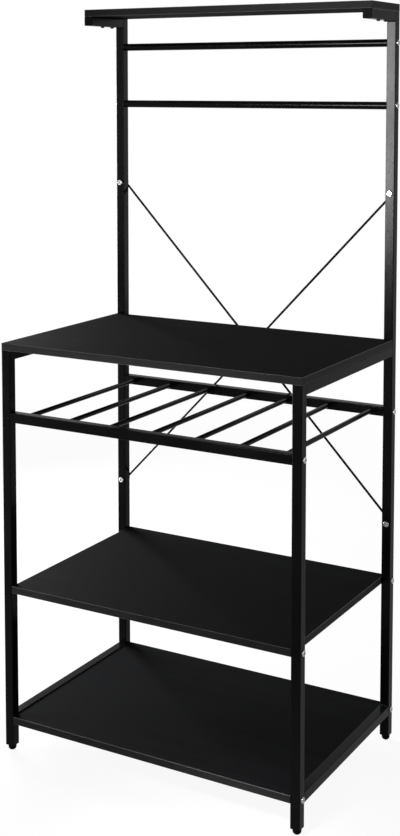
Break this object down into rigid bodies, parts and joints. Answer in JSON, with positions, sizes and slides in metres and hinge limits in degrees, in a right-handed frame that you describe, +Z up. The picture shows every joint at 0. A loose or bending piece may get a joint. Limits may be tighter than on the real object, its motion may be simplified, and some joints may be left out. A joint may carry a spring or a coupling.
{
  "type": "bakers rack",
  "caption": "Open steel-framed bakers rack with a worktop, lower shelves, a bottle rack, hanging bars, a small top shelf, crossed back braces and levelling feet.",
  "frame": {"origin": "on the floor, below the middle of the two side frames", "axes": "+X to the right seen from the front, -Y towards the front, +Z up"},
  "size_m": [0.686, 0.4605, 1.55],
  "materials": {
    "frame_steel": "semi-gloss black powder coat",
    "brace_steel": "semi-gloss black powder coat",
    "shelf_board": "black melamine with a fine wood grain",
    "edge_band": "black plastic band with a satin face",
    "bolt_zinc": "bright zinc plate",
    "screw_steel": "black oxide",
    "insert_zinc": "dull zinc plate",
    "black_plastic": "moulded black nylon"
  },
  "bodies": {
    "rack": {"arm_plugs": "black_plastic", "bar_bolts": "bolt_zinc", "bar_inserts": "insert_zinc", "bottle_rod_1": "frame_steel", "bottle_rod_2": "frame_steel", "bottle_rod_3": "frame_steel", "bottle_rod_4": "frame_steel", "bottle_rod_5": "frame_steel", "bottle_rod_6": "frame_steel", "bottle_rod_7": "frame_steel", "bottom_shelf": "shelf_board", "bottom_shelf_bolts": "bolt_zinc", "bottom_shelf_edge_band": "edge_band", "brace_bolts": "bolt_zinc", "brace_nuts": "bolt_zinc", "brace_washers": "bolt_zinc", "foot_inserts": "black_plastic", "left_back_post": "frame_steel", "left_bottom_rail": "frame_steel", "left_front_post": "frame_steel", "left_shelf_arm": "frame_steel", "left_to_right_brace": "brace_steel", "left_top_rail": "frame_steel", "lower_hanging_bar": "frame_steel", "middle_shelf": "shelf_board", "middle_shelf_bolts": "bolt_zinc", "middle_shelf_edge_band": "edge_band", "rack_back_rail": "frame_steel", "rack_bolts": "bolt_zinc", "rack_front_rail": "frame_steel", "rack_rail_inserts": "insert_zinc", "right_back_post": "frame_steel", "right_bottom_rail": "frame_steel", "right_front_post": "frame_steel", "right_shelf_arm": "frame_steel", "right_to_left_brace": "brace_steel", "right_top_rail": "frame_steel", "shelf_inserts": "insert_zinc", "top_shelf": "shelf_board", "top_shelf_edge_band": "edge_band", "top_shelf_screws": "screw_steel", "upper_hanging_bar": "frame_steel", "worktop": "shelf_board", "worktop_edge_band": "edge_band", "worktop_screws": "screw_steel"},
    "left_front_leveller": {"left_front_foot": "black_plastic"},
    "left_back_leveller": {"left_back_foot": "black_plastic"},
    "right_front_leveller": {"right_front_foot": "black_plastic"},
    "right_back_leveller": {"right_back_foot": "black_plastic"}
  },
  "joints": [
    {"name": "left_front_levelling", "type": "slide", "parent": "rack", "child": "left_front_leveller", "axis": [0, 0, -1], "range_m": [0, 0.008]},
    {"name": "left_back_levelling", "type": "slide", "parent": "rack", "child": "left_back_leveller", "axis": [0, 0, -1], "range_m": [0, 0.008]},
    {"name": "right_front_levelling", "type": "slide", "parent": "rack", "child": "right_front_leveller", "axis": [0, 0, -1], "range_m": [0, 0.008]},
    {"name": "right_back_levelling", "type": "slide", "parent": "rack", "child": "right_back_leveller", "axis": [0, 0, -1], "range_m": [0, 0.008]}
  ]
}
